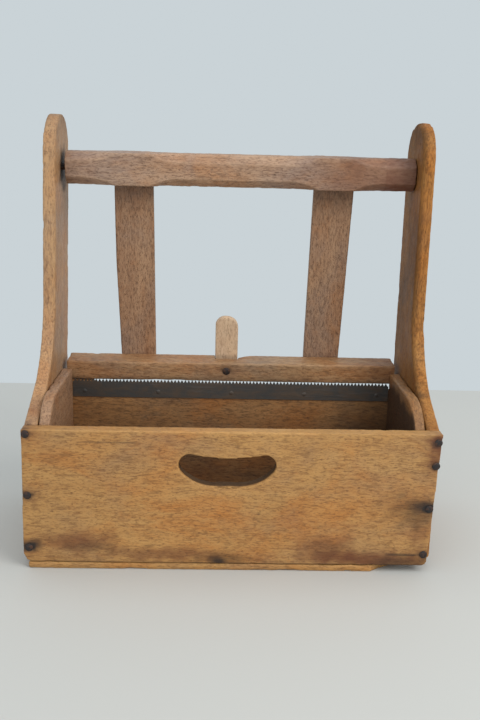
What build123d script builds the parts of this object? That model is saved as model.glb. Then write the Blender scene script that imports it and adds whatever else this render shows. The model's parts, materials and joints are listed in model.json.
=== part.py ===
from build123d import *
import os
from math import cos, radians, sin, tan

os.makedirs("parts", exist_ok=True)

# Millimetres. X runs to the right, Y to the back, Z up. The floor is z = 0, and the origin is the
# middle of the object's footprint. "Front" is the board with the hand hole.

# The box.
front_y = -102.2  # front face of the front board
box_half_width = 220.0
box_top = 158.5
bottom_t = 8.0
front_t = 16.0
side_t = 14.4  # the tall outer boards
inner_x = 204.6  # outer faces of the inner boards
inner_t = 12.5
rear_t = 12.0
corner_r = 6.0
inner_length = 144.0  # the inner boards, from the front board to their rear ends
inner_top = 181.5

# The tall outer boards.
upright_top = 476.5
upright_w = 85.0  # at and above the middle, where the front edge is straight
upright_back_y = front_y + 202.8
top_rise = 40.0  # height of the round top above its two shoulders
sweep_r = 109.0  # the hollow sweep of the front edge, down towards the front board
sweep_angle = 65.0
left_lean = 1.6  # degrees: both boards lean in a little over the box
right_lean = 0.25
left_foot_x = -224.2
right_foot_x = 220.8

# The gate, which hangs from the rail's two end pins and leans back against the inner boards' ends.
pivot_y = front_y + 158.8
pivot_z = 418.4
gate_lean = 4.5
rail_x = (-192.6, 204.1)
rail_d = 34.0
rail_h = 36.6
rail_chamfer = 6.4  # depth of the stopped chamfers, measured square to the cut
# Each stopped chamfer: where it starts and ends along the rail, and how long it takes to run out.
chamfer_stretches = ((-260.0, -134.0, 45.0), (-98.0, 95.0, 33.0), (131.0, 260.0, 34.0))
slat_t = 9.5
slat_top = 16.0
left_slat_top_x = (-142.0, -96.3)
left_slat_foot_x = (-136.0, -94.0)
left_slat_bend = (-141.2, -112.0)  # its outer edge narrows below here
right_slat_top_x = (92.2, 140.4)
right_slat_foot_x = (89.4, 133.0)
peg_x = (-20.6, 7.3)
peg_apex_x = -11.0
peg_top = -176.5
peg_shoulders = (9.0, 13.0)  # how far the ends of its round top are below the apex
peg_t = 9.0
bar_half_width = 199.0
bar_top = -227.4  # from the pivot
bar_h = 23.2
bar_bottom = bar_top - bar_h
end_play = 0.3

# The toothed strip.
strip_t = 1.2
strip_half_length = 192.0
strip_bottom = 146.2
tooth_pitch = 4.15
tooth_h = 3.6
strip_tip = 168.7

# Nails and pins. The right nails of the front board are given by their inset and height.
left_nail_heights = (152.5, 84.5, 24.5)
right_nail_places = ((0.0, 149.5), (0.6, 123.5), (4.0, 74.5), (6.5, 21.5))
shank_r = 1.6
head_r = 4.2
head_proud = 1.0
head_sunk = 0.6
tack_shank_r = 1.1
tack_head_r = 2.6
pin_r = 3.5
pin_play = 0.05
pin_head_r = 7.0
pin_head_t = 4.5
pin_in_rail = 32.0

inner_front_y = front_y + front_t
inner_back_y = inner_front_y + inner_length
rear_back_y = inner_back_y + rear_t
rail_back = rail_d / 2
bar_front = -rail_back
front_plane = Plane(origin=(0, front_y, 0), x_dir=(1, 0, 0), z_dir=(0, -1, 0))
rear_plane = Plane(origin=(0, rear_back_y, 0), x_dir=(-1, 0, 0), z_dir=(0, 1, 0))
foot_plane = Plane(origin=(0, 0, 0), x_dir=(1, 0, 0), z_dir=(0, 0, -1))


def outer_face(foot_x, lean):
    """An upright's outer face, leaning to +X by lean. Its sketches are in Y and Z, as Plane.YZ's are."""
    normal = (cos(radians(lean)), 0, -sin(radians(lean)))
    return Plane(origin=(foot_x, 0, 0), x_dir=(0, 1, 0), z_dir=normal)


left_outer = outer_face(left_foot_x, left_lean)
right_outer = outer_face(right_foot_x, -right_lean)

# The gate's own frame at the pivot: x to the right, y to its back, z up along the slats.
gate = Plane(
    origin=(0, pivot_y, pivot_z),
    x_dir=(1, 0, 0),
    z_dir=(0, -sin(radians(gate_lean)), cos(radians(gate_lean))),
)
gate_depth = gate.y_dir


def gate_point(x, y, z):
    """A point of the gate's own frame, in the object's frame."""
    return gate.from_local_coords(Vector(x, y, z))


def gate_back_plane(y):
    """A plane across the gate at depth y, facing back: its sketches are in -X and up."""
    return Plane(origin=gate_point(0, y, 0), x_dir=(-1, 0, 0), z_dir=gate_depth)


def gate_front_plane(y):
    """A plane across the gate at depth y, facing front: its sketches are in X and up."""
    return Plane(origin=gate_point(0, y, 0), x_dir=(1, 0, 0), z_dir=-gate_depth)


def seat(plane, x, y):
    """A nail's seat: the plane moved to x, y of its own sketch."""
    return Plane(origin=plane.from_local_coords(Vector(x, y, 0)), x_dir=plane.x_dir, z_dir=plane.z_dir)


def finish(block, name):
    """Label a finished piece and write it as its own STEP."""
    block.part.label = name
    export_step(block.part, f"parts/{name}.step")


def nail_group(seats, length, shank=shank_r, head=head_r, proud=head_proud, sunk=head_sunk):
    """Separate nails, one to a seat: a low domed head on the wood and a pointed shank into it."""
    with BuildPart() as one:
        with BuildSketch(Plane.XZ):
            with BuildLine():
                if proud > 0:
                    ThreePointArc((0, proud), (head * 0.72, proud * 0.62), (head, 0))
                else:
                    Line((0, 0), (head, 0))
                Polyline(
                    (head, 0),
                    (head, -sunk),
                    (shank, -sunk),
                    (shank, -length + 3 * shank),
                    (0, -length),
                    (0, proud),
                )
            make_face()
        revolve(axis=Axis.Z)
    with BuildPart() as group:
        with Locations(*seats):
            add(one.part)
    return group


# --- Nails of the box ---------------------------------------------------------------------------

left_edge_x = -box_half_width + 4.5
right_edge_x = box_half_width - 4.5

front_nails_left = nail_group(
    [seat(front_plane, left_edge_x, height) for height in left_nail_heights], length=46.0
)
finish(front_nails_left, "front_nails_left")

front_nails_right = nail_group(
    [seat(front_plane, right_edge_x - inset, height) for inset, height in right_nail_places],
    length=46.0,
)
finish(front_nails_right, "front_nails_right")

side_nail_places = [
    (inner_front_y + 30, 60),
    (inner_front_y + 62, 128),
    (inner_back_y - 22, 52),
    (inner_back_y - 30, 150),
]
left_face_out = Plane(origin=left_outer.origin, x_dir=(0, -1, 0), z_dir=-left_outer.z_dir)

left_side_nails = nail_group([seat(left_face_out, -y, h) for y, h in side_nail_places], length=26.0)
finish(left_side_nails, "left_side_nails")

right_side_nails = nail_group([seat(right_outer, y, h) for y, h in side_nail_places], length=25.0)
finish(right_side_nails, "right_side_nails")

bottom_nails_front = nail_group(
    [seat(foot_plane, x, -(front_y + front_t / 2)) for x in (-170, -85, 0, 85)],
    length=34.0, proud=0, sunk=1.4,
)
finish(bottom_nails_front, "bottom_nails_front")

bottom_nails_rear = nail_group(
    [seat(foot_plane, x, -(rear_back_y - rear_t / 2)) for x in (-160, -55, 55, 160)],
    length=34.0, proud=0, sunk=1.4,
)
finish(bottom_nails_rear, "bottom_nails_rear")

bottom_nails_sides = nail_group(
    [
        seat(foot_plane, side * (inner_x - inner_t / 2), -y)
        for side in (-1, 1)
        for y in (inner_front_y + 45, inner_back_y - 40)
    ],
    length=34.0, proud=0, sunk=1.4,
)
finish(bottom_nails_sides, "bottom_nails_sides")

rear_nails = nail_group(
    [seat(rear_plane, side * (inner_x - inner_t / 2), h) for side in (-1, 1) for h in (36, 84, 132)],
    length=40.0,
)
finish(rear_nails, "rear_nails")

strip_plane = Plane(origin=(0, inner_back_y - strip_t, 0), x_dir=(1, 0, 0), z_dir=(0, -1, 0))
strip_nails = nail_group(
    [seat(strip_plane, x, 153.5) for x in (-178, -89, 0, 89, 178)],
    length=11.0, shank=tack_shank_r, head=tack_head_r, proud=0.6, sunk=0.3,
)
finish(strip_nails, "strip_nails")

# --- The box ------------------------------------------------------------------------------------

hole_x = -5.5
hole_low = 97.2
hole_half = 50.8
hole_top = 132.5
hole_dip = 128.5
hole_lobe = 40.0
hole_flat = 14.0
hole_sweep_r = 45.0
hole_plane = Plane(origin=(hole_x, front_y, 0), x_dir=(1, 0, 0), z_dir=(0, -1, 0))

with BuildPart() as front_board:
    with BuildSketch(front_plane):
        with BuildLine():
            Polyline(
                (-box_half_width, box_top - 1),
                (-box_half_width - 2, 18),
                (-box_half_width + 3, bottom_t),
                (box_half_width - 7, bottom_t),
                (box_half_width, box_top),
                close=True,
            )
        face = make_face()
        fillet(face.vertices().sort_by(Axis.Z)[-2:], corner_r)
    extrude(amount=-front_t)
    with BuildSketch(hole_plane):
        with BuildLine():
            flat = Line((0, hole_low), (hole_flat, hole_low))
            sweep_up = JernArc(flat @ 1, (1, 0), hole_sweep_r, 50)
            end = ThreePointArc(sweep_up @ 1, (hole_half, hole_low + 26), (hole_lobe, hole_top))
            TangentArc((0, hole_dip), end @ 1, tangent=(1, 0))
            mirror(about=Plane.YZ)
        make_face()
    extrude(amount=-front_t, mode=Mode.SUBTRACT)
    for nails in (front_nails_left, front_nails_right, bottom_nails_front):
        add(nails.part, mode=Mode.SUBTRACT)
finish(front_board, "front_board")

break_x = 160.0  # the bottom board's front right corner has broken away from here
with BuildPart() as bottom_board:
    with BuildSketch():
        with BuildLine():
            edge = Polyline(
                (-box_half_width + 3, front_y + 0.4),
                (break_x - 8, front_y + 0.4),
                (break_x, front_y + 6),
            )
            broken = Spline(
                edge @ 1,
                (break_x + 14, front_y + 14),
                (box_half_width - 26, front_y + 20),
                (box_half_width - 7, front_y + 36),
            )
            Polyline(
                broken @ 1,
                (box_half_width - 7, rear_back_y),
                (-box_half_width + 3, rear_back_y),
                edge @ 0,
            )
        make_face()
    extrude(amount=bottom_t)
    for nails in (bottom_nails_front, bottom_nails_rear, bottom_nails_sides):
        add(nails.part, mode=Mode.SUBTRACT)
finish(bottom_board, "bottom_board")


def upright_outline():
    """The side profile of a tall board in Y and Z: round top, straight back, swept-forward foot."""
    top_r = upright_w / 2
    front_edge_y = upright_back_y - upright_w
    shoulder_z = upright_top - top_rise
    sweep_end_y = front_edge_y - sweep_r * (1 - cos(radians(sweep_angle)))
    sweep_end_z = box_top + (sweep_end_y - inner_front_y) * tan(radians(90 - sweep_angle))
    sweep_start_z = sweep_end_z + sweep_r * sin(radians(sweep_angle))
    with BuildLine() as outline:
        foot = Line((inner_front_y, 0), (upright_back_y, 0))
        back = Line(foot @ 1, (upright_back_y, shoulder_z))
        top = ThreePointArc(back @ 1, (upright_back_y - top_r, upright_top), (front_edge_y, shoulder_z))
        front = Line(top @ 1, (front_edge_y, sweep_start_z))
        sweep = JernArc(front @ 1, (0, -1), sweep_r, -sweep_angle)
        toe = Line(sweep @ 1, (inner_front_y, box_top))
        Line(toe @ 1, foot @ 0)
    return outline


def upright(outer_plane, thickness, pin_x, nails):
    """A tall outer board on its outer face's plane, standing on the bottom board, bored for the pin."""
    with BuildPart() as board:
        with BuildSketch(outer_plane):
            add(upright_outline().line)
            make_face()
        extrude(amount=thickness)
        split(bisect_by=Plane.XY.offset(bottom_t), keep=Keep.TOP)
        with BuildSketch(Plane.YZ.offset(pin_x)):
            with Locations((pivot_y, pivot_z)):
                Circle(pin_r + pin_play)
        extrude(amount=2 * side_t, both=True, mode=Mode.SUBTRACT)
        for group in nails:
            add(group.part, mode=Mode.SUBTRACT)
    return board


left_upright = upright(left_outer, side_t, left_foot_x + side_t, (left_side_nails, front_nails_left))
finish(left_upright, "left_upright")

right_upright = upright(right_outer, -side_t, right_foot_x - side_t, (right_side_nails, front_nails_right))
finish(right_upright, "right_upright")

inner_round_r = 54.0


def inner_board(outer_x, side_nails):
    """An inner side board: level top, rounded over and down to the front board's top edge."""
    drop = inner_top - box_top
    run = (2 * inner_round_r * drop - drop**2) ** 0.5
    with BuildPart() as board:
        with BuildSketch(Plane.YZ.offset(outer_x)):
            with BuildLine():
                base = Polyline(
                    (inner_front_y, box_top),
                    (inner_front_y, bottom_t),
                    (inner_back_y, bottom_t),
                    (inner_back_y, inner_top),
                    (inner_front_y + run, inner_top),
                )
                TangentArc(base @ 1, base @ 0, tangent=(-1, 0))
            make_face()
        extrude(amount=inner_t if outer_x < 0 else -inner_t)
        for nails in (side_nails, bottom_nails_sides, rear_nails):
            add(nails.part, mode=Mode.SUBTRACT)
    return board


left_inner_board = inner_board(-inner_x, left_side_nails)
finish(left_inner_board, "left_inner_board")

right_inner_board = inner_board(inner_x, right_side_nails)
finish(right_inner_board, "right_inner_board")

rear_top = 159.5
rear_lug_top = 166.6
rear_lug_x = -168.0  # the left end of the rear board's top edge stands higher
with BuildPart() as rear_board:
    with BuildSketch(Plane(origin=(0, inner_back_y, 0), x_dir=(1, 0, 0), z_dir=(0, -1, 0))):
        with BuildLine():
            Polyline(
                (-inner_x, bottom_t),
                (inner_x, bottom_t),
                (inner_x, rear_top),
                (rear_lug_x + 4, rear_top),
                (rear_lug_x, rear_lug_top),
                (-inner_x, rear_lug_top),
                close=True,
            )
        make_face()
    extrude(amount=-rear_t)
    for nails in (rear_nails, bottom_nails_rear, strip_nails):
        add(nails.part, mode=Mode.SUBTRACT)
finish(rear_board, "rear_board")

tooth_count = int(2 * strip_half_length / tooth_pitch)
tooth_start = -tooth_count * tooth_pitch / 2
gullet_z = strip_tip - tooth_h
with BuildPart() as saw_strip:
    with BuildSketch(Plane(origin=(0, inner_back_y, 0), x_dir=(1, 0, 0), z_dir=(0, -1, 0))):
        teeth = [(tooth_start, gullet_z)]
        for i in range(tooth_count):
            teeth.append((tooth_start + (i + 0.5) * tooth_pitch, strip_tip))
            teeth.append((tooth_start + (i + 1) * tooth_pitch, gullet_z))
        with BuildLine():
            Polyline(
                (-strip_half_length, gullet_z),
                *teeth,
                (strip_half_length, gullet_z),
                (strip_half_length, strip_bottom),
                (-strip_half_length, strip_bottom),
                close=True,
            )
        make_face()
    extrude(amount=strip_t)
    add(strip_nails.part, mode=Mode.SUBTRACT)
finish(saw_strip, "saw_strip")

# --- The gate -----------------------------------------------------------------------------------


def upright_face_x(face_x, lean, z):
    """X of an upright's face at height z."""
    return face_x + z * tan(radians(lean))


def pivot_pin(end_x, rail_end_x, inward):
    """A headed pin through an upright's bore, driven into the end of the rail."""
    length = abs(rail_end_x - end_x) + pin_in_rail
    with BuildPart() as pin:
        with BuildSketch(Plane.YZ.offset(end_x)):
            with Locations((pivot_y, pivot_z)):
                Circle(pin_r)
        extrude(amount=inward * length)
        chamfer(pin.faces().sort_by(Axis.X, reverse=inward < 0)[-1].edges(), 1.2)
        with BuildSketch(Plane.YZ.offset(end_x)):
            with Locations((pivot_y, pivot_z)):
                Circle(pin_head_r)
        extrude(amount=-inward * pin_head_t)
        fillet(pin.faces().sort_by(Axis.X, reverse=inward < 0)[0].edges(), 1.3)
    return pin


left_head_x = upright_face_x(left_foot_x, left_lean, pivot_z - pin_head_r) - end_play
left_pivot_pin = pivot_pin(left_head_x, rail_x[0], 1)
finish(left_pivot_pin, "left_pivot_pin")

right_head_x = upright_face_x(right_foot_x, -right_lean, pivot_z - pin_head_r) + end_play
right_pivot_pin = pivot_pin(right_head_x, rail_x[1], -1)
finish(right_pivot_pin, "right_pivot_pin")

slat_nail_rise = (10.0, -10.0)
slat_back = rail_back + slat_t
slat_back_plane = gate_back_plane(slat_back)


def slat_nails(centre_top, centre_foot):
    """Two nails through a slat into the rail, and two into the bar."""
    seats = [seat(slat_back_plane, -centre_top - dx, -dx * 0.7) for dx in slat_nail_rise]
    bar_mid = bar_top - bar_h / 2
    seats += [seat(slat_back_plane, -centre_foot - dx, bar_mid + dx * 0.4) for dx in slat_nail_rise]
    return nail_group(seats, length=30.0)


left_slat_nails = slat_nails(-119.0, -115.0)
finish(left_slat_nails, "left_slat_nails")

right_slat_nails = slat_nails(116.3, 111.2)
finish(right_slat_nails, "right_slat_nails")

peg_nail = nail_group(
    [seat(gate_front_plane(bar_front), -6.6, bar_top - 10.0)], length=rail_d - 3.0, head=4.6
)
finish(peg_nail, "peg_nail")


def stopped_chamfer(start_x, end_x, run, side, height):
    """Cut one long edge of the rail from start_x to end_x, running out in a curve at each end."""
    out = (gate_depth * side + gate.z_dir * height).normalized()
    along = gate.x_dir.cross(out)
    edge_point = gate_point(0, side * rail_d / 2, height * rail_h / 2)
    depth = rail_chamfer
    with BuildSketch(Plane(origin=edge_point, x_dir=gate.x_dir, z_dir=along)) as cut:
        with BuildLine():
            rise = Spline((start_x, 0), (start_x + run, -depth), tangents=((1, -0.35), (1, 0)))
            flat = Line(rise @ 1, (end_x - run, -depth))
            fall = Spline(flat @ 1, (end_x, 0), tangents=((1, 0), (1, 0.35)))
            Polyline(fall @ 1, (end_x, depth), (start_x, depth), rise @ 0)
        make_face()
    extrude(cut.sketch, amount=2 * depth, both=True, mode=Mode.SUBTRACT)


with BuildPart() as top_rail:
    with BuildSketch(Plane(origin=gate_point(rail_x[0], 0, 0), x_dir=gate_depth, z_dir=(1, 0, 0))):
        Rectangle(rail_d, rail_h)
    extrude(amount=rail_x[1] - rail_x[0])
    for side in (-1, 1):
        for height in (-1, 1):
            for start_x, end_x, run in chamfer_stretches:
                stopped_chamfer(start_x, end_x, run, side, height)
    for pieces in (left_pivot_pin, right_pivot_pin, left_slat_nails, right_slat_nails):
        add(pieces.part, mode=Mode.SUBTRACT)
finish(top_rail, "top_rail")


def slat(top_x, foot_x, bends, nails):
    """A flat slat on the backs of the rail and the bar, between its left and right edges."""
    with BuildPart() as strip:
        with BuildSketch(gate_front_plane(rail_back)):
            with BuildLine():
                Polyline(
                    (top_x[0], slat_top),
                    (top_x[1], slat_top),
                    (foot_x[1], bar_bottom),
                    (foot_x[0], bar_bottom),
                    *bends,
                    close=True,
                )
            make_face()
        extrude(amount=-slat_t)
        long_edges = strip.edges().filter_by(lambda edge: edge.length > 60)
        fillet(long_edges, 1.0)
        add(nails.part, mode=Mode.SUBTRACT)
    return strip


left_slat = slat(left_slat_top_x, left_slat_foot_x, [left_slat_bend], left_slat_nails)
finish(left_slat, "left_slat")

right_slat = slat(right_slat_top_x, right_slat_foot_x, [], right_slat_nails)
finish(right_slat, "right_slat")

with BuildPart() as lift_peg:
    with BuildSketch(gate_front_plane(rail_back - peg_t)):
        with BuildLine():
            sides = Polyline(
                (peg_x[0], peg_top - peg_shoulders[0]),
                (peg_x[0], bar_bottom),
                (peg_x[1], bar_bottom),
                (peg_x[1], peg_top - peg_shoulders[1]),
            )
            ThreePointArc(sides @ 1, (peg_apex_x, peg_top), sides @ 0)
        make_face()
    extrude(amount=-peg_t)
    fillet(lift_peg.edges().filter_by(GeomType.CIRCLE), 0.6)
    add(peg_nail.part, mode=Mode.SUBTRACT)
finish(lift_peg, "lift_peg")

scoop_depth = 3.4
scoop_end = 25.0
peg_foot = (peg_x[1], bar_top - scoop_depth)
with BuildPart() as gate_bar:
    with BuildSketch(gate_front_plane(bar_front)):
        with Locations((0, bar_top - bar_h / 2)):
            Rectangle(2 * bar_half_width, bar_h)
    extrude(amount=bar_front - rail_back)
    upper_back = gate_bar.edges().filter_by(Axis.X).sort_by(Axis.Z)[-1]
    chamfer(upper_back, 1.5)
    with BuildSketch(gate_front_plane(rail_back - peg_t - 6)):
        with BuildLine():
            Polyline((scoop_end, bar_top), (peg_x[0], bar_top), (peg_x[0], bar_top - scoop_depth), peg_foot)
            ThreePointArc(peg_foot, (16, bar_top - 1.6), (scoop_end, bar_top))
        make_face()
    extrude(amount=-peg_t - 10, mode=Mode.SUBTRACT)
    add(lift_peg.part, mode=Mode.SUBTRACT)
    for nails in (left_slat_nails, right_slat_nails, peg_nail):
        add(nails.part, mode=Mode.SUBTRACT)
finish(gate_bar, "gate_bar")
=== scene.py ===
import json
import math

import bmesh
import bpy
import numpy as np
from mathutils import Matrix, Vector, kdtree


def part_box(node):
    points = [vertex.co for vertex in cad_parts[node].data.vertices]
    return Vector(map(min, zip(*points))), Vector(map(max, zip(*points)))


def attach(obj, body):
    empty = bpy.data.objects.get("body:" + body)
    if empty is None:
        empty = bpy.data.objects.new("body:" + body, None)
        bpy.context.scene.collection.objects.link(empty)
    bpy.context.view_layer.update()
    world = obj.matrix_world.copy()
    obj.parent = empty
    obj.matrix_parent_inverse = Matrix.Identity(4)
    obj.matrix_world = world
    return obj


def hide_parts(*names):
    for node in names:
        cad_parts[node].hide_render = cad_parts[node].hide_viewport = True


MM = 0.001

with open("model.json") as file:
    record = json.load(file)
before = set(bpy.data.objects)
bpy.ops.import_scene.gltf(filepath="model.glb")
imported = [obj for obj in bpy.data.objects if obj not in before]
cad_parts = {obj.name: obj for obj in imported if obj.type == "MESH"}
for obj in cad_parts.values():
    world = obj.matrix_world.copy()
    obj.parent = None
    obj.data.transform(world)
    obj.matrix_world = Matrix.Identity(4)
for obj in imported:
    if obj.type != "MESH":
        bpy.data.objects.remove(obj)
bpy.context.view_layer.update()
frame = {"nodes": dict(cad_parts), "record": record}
nodes = frame["nodes"]
body_of_node = {
    node: body
    for body, members in frame["record"]["behaviour"]["bodies"].items()
    for node in members
}
slot_of_node = {row["node"]: row["material_slot"] for row in frame["record"]["subparts"]}
scene = bpy.context.scene
scene.view_settings.view_transform = "Standard"


def corners(node):
    """A node's lowest and highest corners, as two arrays in metres."""
    low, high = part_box(node)
    return np.array(low), np.array(high)


front_low, front_high = corners("front_board")

# ---------------------------------------------------------------------------------------------
# Camera, lights, floor
# ---------------------------------------------------------------------------------------------

SENSOR = 36.0  # in millimetres, like the lens
LENS = 42.5
CAMERA_AT = Vector((-0.0199, front_low[1] - 0.8365, 0.4473))
PITCH = math.radians(14.2)  # downwards
YAW = math.radians(1.7)  # to the right
ROLL = math.radians(-1.45)

# Each soft light's name, place, side in metres, power in watts and colour.
LIGHTS = (
    ("key", (1.7, -1.5, 1.7), 1.4, 35.0, (1.0, 0.97, 0.92)),
    ("fill", (-1.4, -2.0, 0.7), 1.6, 8.0, (0.95, 0.97, 1.0)),
    ("top", (0.1, -0.3, 2.2), 2.6, 16.0, (0.97, 0.98, 1.0)),
)
LIT_PLACE = Vector((0, 0, 0.2))
BACKDROP = (0.59, 0.65, 0.68, 1.0)
TABLE_COLOUR = (0.56, 0.553, 0.525, 1.0)
TABLE_ROUGHNESS = 0.75
TABLE_REACH = 3.0  # to the left, to the right and to the front
TABLE_REAR = 0.62


def add_camera():
    """The camera: in front of the box, above it and looking slightly down."""
    data = bpy.data.cameras.new("camera")
    data.sensor_width = SENSOR
    data.lens = LENS
    camera = bpy.data.objects.new("camera", data)
    scene.collection.objects.link(camera)
    forward = Vector(
        (
            math.sin(YAW) * math.cos(PITCH),
            math.cos(YAW) * math.cos(PITCH),
            -math.sin(PITCH),
        )
    )
    level_right = Vector((math.cos(YAW), -math.sin(YAW), 0))
    level_down = forward.cross(level_right)
    right = math.cos(ROLL) * level_right + math.sin(ROLL) * level_down
    down = math.cos(ROLL) * level_down - math.sin(ROLL) * level_right
    turn = Matrix((right, -down, -forward)).transposed()
    camera.matrix_world = Matrix.Translation(CAMERA_AT) @ turn.to_4x4()
    scene.camera = camera


def add_lights():
    """Soft daylight: a broad key from the upper right, a weak fill, and a plain pale backdrop."""
    for name, at, side, power, colour in LIGHTS:
        data = bpy.data.lights.new(name, "AREA")
        data.shape = "SQUARE"
        data.size = side
        data.energy = power
        data.color = colour
        light = bpy.data.objects.new(name, data)
        scene.collection.objects.link(light)
        light.location = at
        light.rotation_euler = (LIT_PLACE - Vector(at)).to_track_quat("-Z", "Y").to_euler()
    world = bpy.data.worlds.new("backdrop")
    world.use_nodes = True
    background = world.node_tree.nodes["Background"]
    background.inputs["Color"].default_value = BACKDROP
    background.inputs["Strength"].default_value = 1.0
    scene.world = world


def add_floor():
    """A plain pale table top."""
    material = bpy.data.materials.new("stage_floor")
    material.use_nodes = True
    shader = material.node_tree.nodes["Principled BSDF"]
    shader.inputs["Base Color"].default_value = TABLE_COLOUR
    shader.inputs["Roughness"].default_value = TABLE_ROUGHNESS
    mesh = bpy.data.meshes.new("floor")
    points = [
        (-TABLE_REACH, -TABLE_REACH, 0.0),
        (TABLE_REACH, -TABLE_REACH, 0.0),
        (TABLE_REACH, TABLE_REAR, 0.0),
        (-TABLE_REACH, TABLE_REAR, 0.0),
    ]
    mesh.from_pydata(points, [], [(0, 1, 2, 3)])
    mesh.materials.append(material)
    floor = bpy.data.objects.new("floor", mesh)
    scene.collection.objects.link(floor)


# ---------------------------------------------------------------------------------------------
# Node graphs
# ---------------------------------------------------------------------------------------------


def tone(red, green, blue):
    """A linear colour from the usual 0 to 255 screen values."""
    return tuple(((value / 255 + 0.055) / 1.055) ** 2.4 for value in (red, green, blue))


class Graph:
    """Builds one material's node tree with short calls. A value is a number, a tuple or a socket."""

    # The sockets of a Mix node that mixes colours; its sockets for numbers share their names.
    MIX_FACTOR, MIX_FIRST, MIX_SECOND = 0, 6, 7
    MIX_RESULT = 2

    def __init__(self, name):
        self.material = bpy.data.materials.new(name)
        self.material.use_nodes = True
        self.tree = self.material.node_tree
        self.shader = self.tree.nodes["Principled BSDF"]
        self.object_place = self.tree.nodes.new("ShaderNodeTexCoord").outputs["Object"]

    def put(self, socket, value):
        """Link a socket to a socket, or set its value."""
        if isinstance(value, bpy.types.NodeSocket):
            self.tree.links.new(value, socket)
        elif isinstance(value, tuple) and len(value) == 3 and socket.type == "RGBA":
            socket.default_value = (*value, 1.0)
        else:
            socket.default_value = value

    def math(self, operation, *values):
        """A Math node."""
        node = self.tree.nodes.new("ShaderNodeMath")
        node.operation = operation
        for socket, value in zip(node.inputs, values):
            self.put(socket, value)
        return node.outputs[0]

    def place(self, scale, seed):
        """The point in the object's frame, scaled along each axis and moved by a seed."""
        node = self.tree.nodes.new("ShaderNodeMapping")
        self.put(node.inputs["Vector"], self.object_place)
        node.inputs["Scale"].default_value = scale
        node.inputs["Location"].default_value = (1.7 * seed, 3.1 * seed, 2.3 * seed)
        return node.outputs[0]

    def attribute(self, name):
        """One painted layer of the mesh."""
        node = self.tree.nodes.new("ShaderNodeAttribute")
        node.attribute_name = name
        return node.outputs["Fac"]

    def noise(self, vector, detail=3.0, roughness=0.5, distortion=0.0):
        """Noise from 0 to 1 at one cycle per unit of the vector."""
        node = self.tree.nodes.new("ShaderNodeTexNoise")
        self.put(node.inputs["Vector"], vector)
        self.put(node.inputs["Scale"], 1.0)
        self.put(node.inputs["Detail"], detail)
        self.put(node.inputs["Roughness"], roughness)
        self.put(node.inputs["Distortion"], distortion)
        return node.outputs["Fac"]

    def ramp(self, value, low, high, to_low=0.0, to_high=1.0):
        """A smooth step from to_low to to_high as the value goes from low to high."""
        node = self.tree.nodes.new("ShaderNodeMapRange")
        node.interpolation_type = "SMOOTHSTEP"
        for name, number in (
            ("Value", value),
            ("From Min", low),
            ("From Max", high),
            ("To Min", to_low),
            ("To Max", to_high),
        ):
            self.put(node.inputs[name], number)
        return node.outputs["Result"]

    def mix(self, factor, first, second):
        """Mix two colours."""
        node = self.tree.nodes.new("ShaderNodeMix")
        node.data_type = "RGBA"
        self.put(node.inputs[self.MIX_FACTOR], factor)
        self.put(node.inputs[self.MIX_FIRST], first)
        self.put(node.inputs[self.MIX_SECOND], second)
        return node.outputs[self.MIX_RESULT]

    def bump(self, height, distance, strength=1.0):
        """Roughen the surface by a height from 0 to 1, over a distance in metres."""
        node = self.tree.nodes.new("ShaderNodeBump")
        self.put(node.inputs["Height"], height)
        node.inputs["Distance"].default_value = distance
        node.inputs["Strength"].default_value = strength
        self.put(self.shader.inputs["Normal"], node.outputs["Normal"])


# ---------------------------------------------------------------------------------------------
# Materials
# ---------------------------------------------------------------------------------------------

# How each wood looks, from its palest colour to its darkest, and how much of it has gone grey.
WOODS = {
    "honey": {
        "pale": tone(194, 147, 88),
        "mid": tone(172, 123, 70),
        "dark": tone(104, 66, 34),
        "warm": tone(182, 110, 44),
        "grey": tone(146, 114, 84),
        "grey_amount": 0.55,
        "gloss": 0.35,
    },
    "upright": {
        "pale": tone(194, 152, 108),
        "mid": tone(168, 126, 88),
        "dark": tone(104, 72, 50),
        "warm": tone(184, 122, 68),
        "grey": tone(150, 126, 110),
        "grey_amount": 0.65,
        "gloss": 0.45,
    },
    "upright_dark": {
        "pale": tone(184, 130, 70),
        "mid": tone(150, 96, 46),
        "dark": tone(74, 44, 26),
        "warm": tone(182, 110, 42),
        "grey": tone(116, 86, 64),
        "grey_amount": 0.6,
        "gloss": 0.15,
    },
    # The rail's greyish, mauve tones are partly weathering and partly painted reflection: the sheen of the
    # pale table, laid into the colour.
    "rail": {
        "pale": tone(184, 150, 122),
        "mid": tone(156, 121, 96),
        "dark": tone(92, 64, 46),
        "warm": tone(172, 114, 66),
        "grey": tone(148, 128, 118),
        "grey_amount": 0.7,
        "gloss": 0.4,
    },
    "slat": {
        "pale": tone(174, 136, 104),
        "mid": tone(146, 108, 80),
        "dark": tone(88, 60, 42),
        "warm": tone(160, 104, 60),
        "grey": tone(134, 114, 102),
        "grey_amount": 0.65,
        "gloss": 0.35,
    },
    "bar": {
        "pale": tone(182, 146, 108),
        "mid": tone(152, 113, 76),
        "dark": tone(90, 60, 38),
        "warm": tone(168, 106, 56),
        "grey": tone(136, 116, 98),
        "grey_amount": 0.6,
        "gloss": 0.35,
    },
    # Darker than the honey wood, partly painted shade: used for the boards inside the box, where less light
    # reaches.
    "shaded_interior": {
        "pale": tone(168, 124, 80),
        "mid": tone(140, 100, 62),
        "dark": tone(70, 48, 34),
        "warm": tone(156, 96, 46),
        "grey": tone(116, 98, 80),
        "grey_amount": 0.6,
        "gloss": 0.25,
    },
    "peg": {
        "pale": tone(218, 188, 154),
        "mid": tone(200, 168, 138),
        "dark": tone(156, 120, 94),
        "warm": tone(206, 164, 126),
        "grey": tone(182, 160, 142),
        "grey_amount": 0.4,
        "gloss": 0.3,
    },
}

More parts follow.
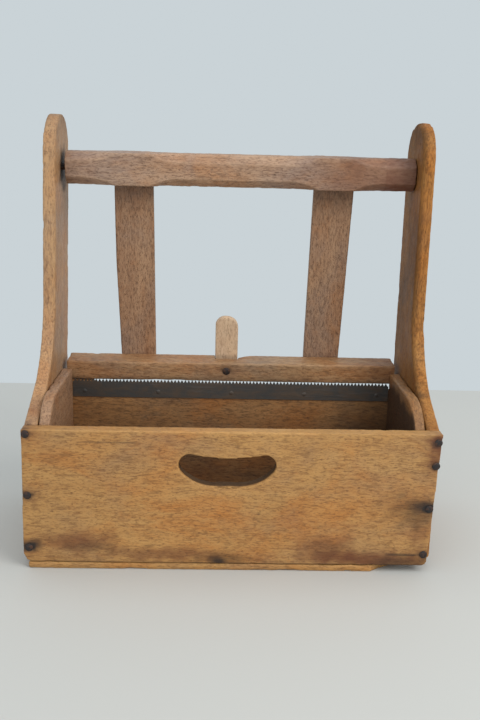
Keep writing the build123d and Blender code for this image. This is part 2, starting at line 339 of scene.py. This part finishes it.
# The noises of the grain: marks per metre across it, how far they are drawn out along it, and the
# noise's detail, roughness and distortion.
GRAIN = {
    "bands": (60, 8, 3.0, 0.6, 0.5),
    "fibres": (480, 4.5, 3.0, 0.65, 0.3),
    "flecks": (760, 3.2, 2.0, 0.6, 0.0),
    "mottle": (60, 1.8, 5.0, 0.75, 0.8),
    "patches": (15, 1.8, 4.0, 0.6, 0.8),
    "weather": (11, 1.6, 5.0, 0.65, 0.6),
    "scuffs": (130, 1.6, 3.0, 0.7, 0.8),
}
RUST_COLOUR = tone(98, 50, 30)
# The dark layer below paints real grime and also painted shade: under the bar and peg, inside the box and
# the hand hole, and on faces turned from the key.
GRIME_AND_SHADE_COLOUR = tone(44, 30, 22)
STAIN_COLOUR = tone(30, 27, 27)
WOOD_RELIEF = 0.45 * MM


def wood_material(name, wood, along, seed):
    """Old finished hardwood with its grain along one axis of the object."""
    look = WOODS[wood]
    graph = Graph(name)
    grain = {}
    for number, (part, (per_metre, stretch, *shape)) in enumerate(GRAIN.items(), 1):
        scale = [per_metre] * 3
        scale["XYZ".index(along)] = per_metre / stretch
        grain[part] = graph.noise(graph.place(tuple(scale), seed + 0.37 * number), *shape)

    # Each wash: the noise, its range, how much of the colour lies at either end, and the colour.
    washes = (
        ("patches", 0.44, 0.72, 0.0, 0.66, "warm"),
        ("weather", 0.44, 0.70, 0.0, look["grey_amount"], "grey"),
        ("mottle", 0.50, 0.74, 0.0, 0.30, "warm"),
        ("mottle", 0.26, 0.46, 0.22, 0.0, "grey"),
        ("fibres", 0.34, 0.54, 0.46, 0.0, "dark"),
        ("fibres", 0.52, 0.68, 0.0, 0.34, "pale"),
        ("flecks", 0.52, 0.66, 0.0, 0.42, "dark"),
        ("scuffs", 0.60, 0.78, 0.0, 0.30, "pale"),
    )
    colour = graph.mix(graph.ramp(grain["bands"], 0.30, 0.70, 0.25, 0.80), look["mid"], look["pale"])
    for part, low, high, at_low, at_high, over in washes:
        amount = graph.ramp(grain[part], low, high, at_low, at_high)
        colour = graph.mix(amount, colour, look[over])

    # Each painted layer of the mesh: how much it covers, and its colour.
    layers = {name: graph.attribute(name) for name in ("edge", "rust", "grime_and_shade", "stain")}
    for layer, cover, over in (
        ("edge", 0.45, look["pale"]),
        ("rust", 0.85, RUST_COLOUR),
        ("grime_and_shade", 0.85, GRIME_AND_SHADE_COLOUR),
        ("stain", 0.96, STAIN_COLOUR),
    ):
        colour = graph.mix(graph.math("MULTIPLY", layers[layer], cover), colour, over)
    graph.put(graph.shader.inputs["Base Color"], colour)

    clean = graph.ramp(grain["mottle"], 0.3, 0.75, 0.42, 0.62)
    roughness = graph.math("ADD", clean, graph.math("MULTIPLY", layers["grime_and_shade"], 0.2))
    graph.put(graph.shader.inputs["Roughness"], roughness)
    graph.shader.inputs["Specular IOR Level"].default_value = look["gloss"]
    relief = graph.math("ADD", graph.math("MULTIPLY", grain["fibres"], 0.8), grain["mottle"])
    pores = graph.ramp(grain["flecks"], 0.58, 0.70, 0.0, 0.6)
    graph.bump(graph.math("SUBTRACT", relief, pores), WOOD_RELIEF, 0.9)
    return graph.material


def rusty_iron(name, seed):
    """Nail iron: near black, with brown rust."""
    graph = Graph(name)
    coarse = graph.noise(graph.place((260.0, 260.0, 260.0), seed), 4.0, 0.6, 0.3)
    fine = graph.noise(graph.place((1400.0, 1400.0, 1400.0), seed), 3.0, 0.6)
    colour = graph.mix(graph.ramp(coarse, 0.42, 0.66), tone(46, 42, 42), tone(84, 56, 42))
    graph.put(graph.shader.inputs["Base Color"], colour)
    graph.shader.inputs["Metallic"].default_value = 0.35
    graph.put(graph.shader.inputs["Roughness"], graph.ramp(fine, 0.3, 0.7, 0.5, 0.8))
    graph.bump(graph.math("ADD", coarse, graph.math("MULTIPLY", fine, 0.4)), 0.6 * MM)
    return graph.material


def saw_steel(name, seed):
    """Old saw blade: dark brown-grey patina, worn a little brighter in long streaks."""
    graph = Graph(name)
    streaks = graph.noise(graph.place((22.0, 300.0, 300.0), seed), 4.0, 0.6, 0.2)
    blotches = graph.noise(graph.place((45.0, 90.0, 90.0), seed + 1), 4.0, 0.65, 0.6)
    colour = graph.mix(graph.ramp(blotches, 0.35, 0.70), tone(70, 68, 66), tone(88, 74, 62))
    colour = graph.mix(graph.ramp(streaks, 0.52, 0.78, 0.0, 0.6), colour, tone(98, 95, 92))
    graph.put(graph.shader.inputs["Base Color"], colour)
    graph.shader.inputs["Metallic"].default_value = 0.3
    graph.put(graph.shader.inputs["Roughness"], graph.ramp(streaks, 0.3, 0.7, 0.62, 0.42))
    graph.bump(graph.math("ADD", blotches, streaks), 0.15 * MM)
    return graph.material


# ---------------------------------------------------------------------------------------------
# Worn boards
# ---------------------------------------------------------------------------------------------

WELD_DISTANCE = 0.01 * MM
NAIL_WELD_DISTANCE = 0.001 * MM
SHARP_ANGLE = math.radians(20)
EDGE_SPACING = 2 * MM  # between the points that stand for a sharp edge
EDGE_REACH = 25 * MM  # beyond it, a point counts as away from every edge
ROUND_REACH = 2.4  # how far in from an edge, in millimetres, the board is rounded,
SOFT_REACH = 5  # worn round by hands,
NICK_REACH = 4.5  # nicked and dented,
RUB_REACH = 3  # and rubbed pale
SOFT_ROUNDS = 14
CHIP_LEVEL = 0.36  # how rough a place has to be to be chipped
CHIP_RANGE = 0.3
DENT_DEPTH = 0.45 * MM
NAIL_MARGIN = 3 * MM  # how far past a nail's ends the wood is stained
NAIL_GRAIN = 1.4  # how much longer its stain is along the grain
NAIL_RUST = 2.6  # how much wider its rust is than its stain
BLOT_SCALE = 110  # cells per metre of the noise that makes a blot's outline uneven


def evaluated_mesh(source, modifiers):
    """A new mesh: the source's with some modifiers applied."""
    carrier = bpy.data.objects.new("carrier", source.data.copy())
    scene.collection.objects.link(carrier)
    for kind, settings in modifiers:
        modifier = carrier.modifiers.new(kind, kind)
        for key, value in settings.items():
            setattr(modifier, key, value)
    bpy.context.view_layer.update()
    evaluated = carrier.evaluated_get(bpy.context.evaluated_depsgraph_get())
    mesh = bpy.data.meshes.new_from_object(evaluated)
    bpy.data.objects.remove(carrier)
    return mesh


def sharp_edge_points(source):
    """Points along the source's sharp edges."""
    shape = bmesh.new()
    shape.from_mesh(source.data)
    bmesh.ops.remove_doubles(shape, verts=shape.verts, dist=WELD_DISTANCE)
    points = []
    for edge in shape.edges:
        if len(edge.link_faces) != 2 or edge.calc_face_angle(0.0) < SHARP_ANGLE:
            continue
        start, end = (vertex.co.copy() for vertex in edge.verts)
        count = max(1, round((end - start).length / EDGE_SPACING))
        points += [start.lerp(end, (i + 0.5) / count) for i in range(count)]
    shape.free()
    return points


def lattice_noise(points, scale, seed):
    """Smooth value noise from 0 to 1 at points, one cell to 1 / scale metres."""
    at = points * scale + 13.7 * seed
    cell = np.floor(at).astype(np.int64)
    part = at - cell
    part = part * part * (3 - 2 * part)
    total = np.zeros(len(points))
    for i in range(8):
        step = np.array([(i >> k) & 1 for k in range(3)])
        corner = cell + step
        # Any large odd numbers mix a corner's place and the seed into an even spread of values.
        mixed = corner[:, 0] * 374761393 + corner[:, 1] * 668265263 + corner[:, 2] * 2147483647
        mixed = mixed + seed * 1274126177
        mixed = (mixed ^ (mixed >> 13)) * 1103515245
        value = ((mixed ^ (mixed >> 16)) & 0xFFFF) / 65535.0
        total += value * np.where(step, part, 1 - part).prod(axis=1)
    return total


def edge_distances(points, edge_points):
    """How far each point is from the nearest edge point."""
    tree = kdtree.KDTree(len(edge_points))
    for index, point in enumerate(edge_points):
        tree.insert(point, index)
    tree.balance()
    return np.array([min(tree.find(point)[2], EDGE_REACH) for point in points])


def near(distance, reach, head_start):
    """1 close to an edge, falling in a straight line over a reach in millimetres to 0."""
    return np.clip(head_start - distance / (reach * MM), 0, 1)


def smooth(points, edges, weight, rounds):
    """Pull each point towards the middle of its neighbours, by its weight."""
    first, second = edges[:, 0], edges[:, 1]
    count = np.bincount(edges.ravel(), minlength=len(points))
    for _ in range(rounds):
        middle = np.empty_like(points)
        for axis in range(3):
            total = np.bincount(first, points[second, axis], len(points))
            total += np.bincount(second, points[first, axis], len(points))
            middle[:, axis] = total / count
        points = points + weight[:, None] * (middle - points)
    return points


def array_of(collection, name, width, kind=np.float64):
    """One property of all a mesh's points or edges, as an array of so many columns."""
    values = np.empty(len(collection) * width, dtype=kind)
    collection.foreach_get(name, values)
    return values.reshape(-1, width)


def paint(mesh, name, values):
    """Store one layer of values from 0 to 1 on the mesh's points."""
    layer = mesh.attributes.new(name, "FLOAT", "POINT")
    layer.data.foreach_set("value", np.clip(values, 0, 1).astype(np.float32))


def nails_of(node):
    """The points of each nail of a group, one array to a nail."""
    shape = bmesh.new()
    shape.from_mesh(nodes[node].data)
    bmesh.ops.remove_doubles(shape, verts=shape.verts, dist=NAIL_WELD_DISTANCE)
    seen = set()
    nails = []
    for first in shape.verts:
        if first in seen:
            continue
        seen.add(first)
        stack = [first]
        nail = []
        while stack:
            vertex = stack.pop()
            nail.append(tuple(vertex.co))
            for edge in vertex.link_edges:
                other = edge.other_vert(vertex)
                if other not in seen:
                    seen.add(other)
                    stack.append(other)
        nails.append(np.array(nail))
    shape.free()
    return nails


def rust_round(points, layers, groups, reach, along, strength=1.0):
    """Black stain and rust in the wood round the nails of some groups, drawn out along the grain."""
    wobble = 0.65 + 0.7 * lattice_noise(points, 260, 5)
    for nail in (nail for group in groups for nail in nails_of(group)):
        low, high = nail.min(axis=0), nail.max(axis=0)
        line = np.argmax(high - low)
        offset = points - (low + high) / 2
        inside = np.abs(offset[:, line]) < (high - low)[line] / 2 + NAIL_MARGIN
        offset[:, line] = 0
        offset[:, "XYZ".index(along)] /= NAIL_GRAIN
        spread = np.linalg.norm(offset, axis=1) * wobble / (reach * MM)
        layers["stain"] += inside * strength * np.clip(1.15 - spread, 0, 1)
        layers["rust"] += inside * strength * 0.6 * np.clip(1.0 - spread / NAIL_RUST, 0, 1)


def blot(points, layer, at, size, strength, seed, plane="XZ"):
    """A soft irregular mark centred at a place on a face, in millimetres."""
    axes = ["XYZ".index(letter) for letter in plane]
    offset = (points[:, axes] / MM - np.array(at)) / np.array(size)
    wobble = 0.55 + 0.9 * lattice_noise(points, BLOT_SCALE, seed)
    layer += strength * np.clip(1.4 - 1.4 * np.hypot(offset[:, 0], offset[:, 1]) * wobble, 0, 1)


def worn_board(node, material, seed, voxel, marks=None, nicks=1.2, waves=0.25, soft=None):
    """A denser copy of a CAD board, with its edges rounded and nicked, standing for the node.

    Voxel size, nicks and waves are in millimetres. Marks paints the board's layers, and soft gives
    the places where the edges are worn round.
    """
    source = nodes[node]
    mesh = evaluated_mesh(
        source,
        [
            ("WELD", {"merge_threshold": WELD_DISTANCE}),
            ("REMESH", {"mode": "VOXEL", "voxel_size": voxel * MM, "use_smooth_shade": True}),
        ],
    )
    points = array_of(mesh.vertices, "co", 3)
    edges = array_of(mesh.edges, "vertices", 2, np.int64)
    distance = edge_distances(points, sharp_edge_points(source))
    points = smooth(points, edges, near(distance, ROUND_REACH, 1.3) * 0.55, rounds=1)
    if soft:
        weight = near(distance, SOFT_REACH, 1.3) * soft(points)
        points = smooth(points, edges, weight, SOFT_ROUNDS)
    mesh.vertices.foreach_set("co", points.ravel())
    mesh.update()

    normals = array_of(mesh.vertices, "normal", 3)
    edge_zone = near(distance, NICK_REACH, 1.2)
    rough = lattice_noise(points, 110, seed + 1) * lattice_noise(points, 32, seed + 2)
    chips = nicks * MM * (np.clip(rough - CHIP_LEVEL, 0, 1) / CHIP_RANGE) * edge_zone
    dents = DENT_DEPTH * lattice_noise(points, 260, seed + 5) ** 2 * edge_zone
    depth = dents + chips + waves * MM * lattice_noise(points, 22, seed + 3)
    points = np.clip(points - normals * depth[:, None], *corners(node))
    mesh.vertices.foreach_set("co", points.ravel())
    mesh.update()

    layers = {name: np.zeros(len(points)) for name in ("grime_and_shade", "stain", "rust")}
    rubbed = 0.25 + 0.95 * lattice_noise(points, 60, seed + 4)
    layers["edge"] = near(distance, RUB_REACH, 1.1) * rubbed
    if marks:
        marks(points, layers)
    for name, values in layers.items():
        paint(mesh, name, values)

    mesh.materials.clear()
    mesh.materials.append(material)
    mesh.shade_smooth()
    board = bpy.data.objects.new("worn_" + node, mesh)
    scene.collection.objects.link(board)
    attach(board, body_of_node[node])
    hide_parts(node)


# ---------------------------------------------------------------------------------------------
# The object's marks: places and sizes in millimetres
# ---------------------------------------------------------------------------------------------

# On the front board's face: the layer, the middle, the half width and half height, strength, seed.
FRONT_BLOTS = (
    ("stain", (-211, 28), (16, 10), 0.7, 31),
    ("stain", (204, 78), (24, 9), 0.75, 32),
    ("grime_and_shade", (200, 70), (36, 26), 0.55, 33),
    ("rust", (-165, 32), (50, 14), 0.70, 34),
    ("rust", (-70, 19), (90, 10), 0.65, 35),
    ("grime_and_shade", (-150, 26), (36, 8), 0.35, 36),
    ("grime_and_shade", (-4, 14), (42, 9), 0.60, 37),
    ("stain", (-12, 11), (13, 6), 0.9, 38),
    ("grime_and_shade", (104, 25), (26, 14), 0.20, 39),
    ("rust", (104, 27), (44, 20), 0.48, 40),
    ("rust", (150, 15), (90, 12), 0.90, 41),
    ("grime_and_shade", (180, 12), (46, 8), 0.60, 42),
    ("rust", (213, 136), (14, 26), 0.60, 43),
    ("rust", (214, 153), (12, 6), 0.45, 44),
    ("rust", (175, 80), (34, 20), 0.30, 45),
    ("rust", (55, 70), (36, 22), 0.14, 47),
    ("rust", (203, 45), (18, 22), 0.40, 48),
    ("grime_and_shade", (-88, 28), (8, 3), 0.35, 46),
    ("grime_and_shade", (93, 52), (10, 3), 0.28, 49),
)
FRONT_DOTS = ((-74, 55), (-27, 45), (29, 67), (83, 95), (145, 25), (-162, 142), (5, 142))
FIRST_DOT_SEED = 50
# The left end, right end, height, half width, strength and seed of each crack in the front board.
FRONT_CRACKS = ((-163, -96, 145, 0.9, 0.55, 61), (166, 206, 21, 1.3, 0.85, 62))
CRACK_TAPER = 8
HOLE_MIDDLE = -5.5
HOLE_HALF_WIDTH = 54
HOLE_FOOT = 94
HOLE_TOP = 136
INNER_BOARD_DOTS = ((-35, 160), (-52, 166), (-50, 152))
INNER_BOARD_SHADE = 176  # the height at which the right inner board's inward face darkens
LEFT_LEAN = math.radians(1.6)  # of the left upright
ROUND_TOP = 440  # where an upright's round top begins
SWEEP_FOOT = 190  # where the uprights' front edges begin to sweep up, above the front board,
SWEEP_TOP = 280  # and where they end
SOFT_FOOT = 80  # the right upright's foot is worn round up to here


def in_mm(points):
    """The points' x, y and z, in millimetres."""
    return points[:, 0] / MM, points[:, 1] / MM, points[:, 2] / MM


def rise(values, start, over):
    """0 up to start, then rising to 1; with a negative length it rises towards lower values."""
    return np.clip((values - start) / over, 0, 1)


def crack(points, layer, left, right, height, width, strength, seed):
    """A dark crack along the grain in the front board's face."""
    x, _, z = in_mm(points)
    ahead = points[:, 1] < front_low[1] + 2 * MM
    wander = 1.6 * (lattice_noise(points * np.array([1, 0, 0]), 60, seed) - 0.5)
    along = rise(x, left, CRACK_TAPER) * rise(x, right, -CRACK_TAPER)
    layer += ahead * strength * along * np.clip(1.3 - np.abs(z - height - wander) / width, 0, 1)


def front_marks(points, layers):
    """Rust round the nails, brown stains along the bottom, two cracks and a few dots."""
    rust_round(points, layers, ("front_nails_left", "front_nails_right"), 5.5, "X")
    for layer, at, size, strength, seed in FRONT_BLOTS:
        blot(points, layers[layer], at, size, strength, seed)
    for number, dot in enumerate(FRONT_DOTS):
        blot(points, layers["grime_and_shade"], dot, (2.6, 2.2), 0.5, FIRST_DOT_SEED + number)
    x, _, z = in_mm(points)
    depth = (points[:, 1] - front_low[1]) / MM
    in_hole = (np.abs(x - HOLE_MIDDLE) < HOLE_HALF_WIDTH) & (z > HOLE_FOOT) & (z < HOLE_TOP)
    layers["grime_and_shade"] += 0.10 * rise(x, -90, -100)
    # Painted shade inside the hand hole, darker deeper in.
    layers["grime_and_shade"] += in_hole * rise(depth, 2.6, 1.2)
    layers["grime_and_shade"] += 0.6 * rise((points[:, 2] - front_low[2]) / MM, 2.2, -1.4)
    layers["edge"] += 0.8 * rise((points[:, 2] - front_high[2]) / MM, -5, 5)
    for row in FRONT_CRACKS:
        crack(points, layers["stain"], *row)


def shadow_below(points, layers, height, fade, amount, seed):
    """Painted shade that grows towards the bottom of a board inside the box."""
    depth = rise(points[:, 2] / MM, height, -fade)
    layers["grime_and_shade"] += amount * depth * (0.6 + 0.7 * lattice_noise(points, 30, seed))


def rear_marks(points, layers):
    """Painted shade towards the bottom, and darker towards the right end."""
    shadow_below(points, layers, 150, 60, 0.45, 71)
    layers["grime_and_shade"] += 0.55 * rise(points[:, 0] / MM, 120, 80)


def left_inner_marks(points, layers):
    """Painted shade towards the bottom."""
    shadow_below(points, layers, 150, 80, 0.55, 72)


def right_inner_marks(points, layers):
    """Painted shade on the inward face, which is turned from the key light and darker towards the bottom,
    with three dark dots.
    """
    inward = points[:, 0] < corners("right_inner_board")[0][0] + 1.5 * MM
    wobble = lattice_noise(points, 70, 73)
    depth = np.clip((INNER_BOARD_SHADE - points[:, 2] / MM) / 12 + wobble - 0.5, 0, 1)
    # Painted shade: the whole inward face darkened, more below INNER_BOARD_SHADE.
    layers["grime_and_shade"] += inward * (0.2 + depth * (0.75 + 0.25 * wobble))
    for dot in INNER_BOARD_DOTS:
        blot(points, layers["stain"], dot, (2.2, 2.2), 0.8, 74, "YZ")


def top_grime(points, seed):
    """Grime on the round top of an upright."""
    depth = rise(points[:, 2] / MM, ROUND_TOP, 36)
    return 0.45 * depth * (0.3 + 0.9 * lattice_noise(points, 60, seed))


def left_upright_marks(points, layers):
    """Rust round the nails, a rust mark at the sweep, a painted shadow of the rail's end on the inner face.
    """
    layers["grime_and_shade"] += top_grime(points, 87)
    rust_round(points, layers, ("left_side_nails", "front_nails_left"), 5.0, "Z")
    blot(points, layers["rust"], (-60, 165), (30, 14), 0.3, 81, "YZ")
    outer_face = corners("left_upright")[0][0] + points[:, 2] * math.tan(LEFT_LEAN)
    inner = rise(points[:, 0] - outer_face, 11 * MM, 2 * MM)
    layers["grime_and_shade"] += 0.14 * inner * (0.6 + 0.8 * lattice_noise(points, 24, 84))
    # Painted shadow: the rail's end shades the upright's inner face behind the gap.
    blot(points, layers["grime_and_shade"], (68, 417), (30, 32), 0.9, 88, "YZ")


def right_upright_marks(points, layers):
    """Rust round the nails, an inner face darkened by painted shade and brown stain, short dashes up the
    swept edge.
    """
    rust_round(points, layers, ("right_side_nails", "front_nails_right"), 5.0, "Z")
    outer_face = corners("right_upright")[1][0]
    inner = np.clip((outer_face - 12.5 * MM - points[:, 0]) / (3 * MM) + 1, 0, 1)
    # Painted shade and brown stain on the inner face, which is turned from the key light.
    layers["grime_and_shade"] += 0.50 * inner * (0.5 + 0.8 * lattice_noise(points, 24, 82))
    layers["grime_and_shade"] += top_grime(points, 85)
    dashes = lattice_noise(points * np.array([0.3, 1, 1]), 420, 86)
    z = points[:, 2] / MM
    sweep = (z > SWEEP_FOOT) * (z < SWEEP_TOP) * (inner < 0.5)
    layers["grime_and_shade"] += 0.4 * sweep * rise(dashes, 0.5, 0.2)
    blot(points, layers["stain"], (-40, 186), (7, 6), 0.7, 83, "YZ")


def rail_marks(points, layers):
    """Rust round the pins, warmer towards the right, darker at both ends, one dark spot."""
    rust_round(points, layers, ("left_pivot_pin", "right_pivot_pin"), 12.0, "X", 0.5)
    x = points[:, 0] / MM
    layers["rust"] += 0.85 * rise(x, 40, 130) * (0.4 + lattice_noise(points, 40, 91))
    layers["grime_and_shade"] += 0.22 * rise(x, 175, 30) + 0.20 * rise(x, -170, -24)
    blot(points, layers["grime_and_shade"], (-9, 441), (9, 4), 0.5, 92)


def slat_marks(points, layers):
    """Grime towards the rail, and rust round the nails."""
    layers["grime_and_shade"] += 0.35 * rise(points[:, 2] / MM, 370, 30)
    rust_round(points, layers, ("left_slat_nails", "right_slat_nails"), 4.0, "Z")


def bar_marks(points, layers):
    """Rust round the peg's nail and at the right end, and painted shadow along the bottom edge."""
    rust_round(points, layers, ("peg_nail",), 5.5, "X")
    x, _, z = in_mm(points)
    layers["rust"] += 0.35 * rise(x, 150, 40)
    # Painted shadow along the bar's bottom edge, above the teeth.
    layers["grime_and_shade"] += 0.5 * rise(z, 174, -5) * (0.5 + lattice_noise(points, 50, 95))


def peg_marks(points, layers):
    """Painted contact shadow where the peg stands on the bar."""
    layers["grime_and_shade"] += 0.3 * rise(points[:, 2] / MM, 197, -4)


def worn_arris(points):
    """Where the right upright is worn round: its inner front edge above the box, and its foot."""
    low, high = corners("right_upright")
    inner = rise(points[:, 0], low[0] + 9 * MM, -3 * MM)
    z = points[:, 2] / MM
    swept_front = (points[:, 1] < high[1] - 20 * MM) * (z > SWEEP_FOOT)
    outer_foot = (points[:, 0] > high[0] - 8 * MM) * (points[:, 1] < low[1] + 12 * MM)
    return 0.6 * np.maximum(inner * swept_front, outer_foot * (z < SOFT_FOOT))


# ---------------------------------------------------------------------------------------------
# The object
# ---------------------------------------------------------------------------------------------

# Each board: its node, material, wood, the grain's axis, the voxel size in mm, and its wear. A board's
# place in the list is its seed.
BOARDS = (
    ("front_board", "wood_front", "honey", "X", 1.4, {"marks": front_marks}),
    ("bottom_board", "wood_bottom", "honey", "X", 1.8, {}),
    ("rear_board", "wood_rear", "shaded_interior", "X", 2.0, {"marks": rear_marks}),
    ("left_inner_board", "wood_inner_left", "slat", "Y", 1.6, {"marks": left_inner_marks}),
    ("right_inner_board", "wood_inner_right", "shaded_interior", "Y", 1.6, {"marks": right_inner_marks}),
    ("left_upright", "wood_upright_left", "upright", "Z", 1.5, {"marks": left_upright_marks, "nicks": 1.8}),
    (
        "right_upright",
        "wood_upright_right",
        "upright_dark",
        "Z",
        1.5,
        {"marks": right_upright_marks, "nicks": 1.8, "soft": worn_arris},
    ),
    ("top_rail", "wood_rail", "rail", "X", 1.1, {"marks": rail_marks}),
    ("left_slat", "wood_slat_left", "slat", "Z", 1.4, {"marks": slat_marks}),
    ("right_slat", "wood_slat_right", "slat", "Z", 1.4, {"marks": slat_marks}),
    ("gate_bar", "wood_bar", "bar", "X", 1.3, {"marks": bar_marks, "nicks": 0.6, "waves": 0.1}),
    ("lift_peg", "wood_peg", "peg", "Z", 0.9, {"marks": peg_marks}),
)


def build_boards():
    """Every wooden piece, as a worn copy of its CAD node."""
    for seed, (node, name, wood, along, voxel, wear) in enumerate(BOARDS, 1):
        worn_board(node, wood_material(name, wood, along, seed), seed, voxel, **wear)


def dress_metal():
    """The iron pieces and the toothed strip keep their CAD shapes."""
    iron = rusty_iron("iron", 21.0)
    steel = saw_steel("strip_steel", 23.0)
    for name, node in nodes.items():
        if slot_of_node[name] == "nail_iron":
            node.data.materials.clear()
            node.data.materials.append(iron)
    for name in ("saw_strip", "strip_nails"):
        nodes[name].data.materials.clear()
        nodes[name].data.materials.append(steel)


add_camera()
add_lights()
add_floor()
build_boards()
dress_metal()
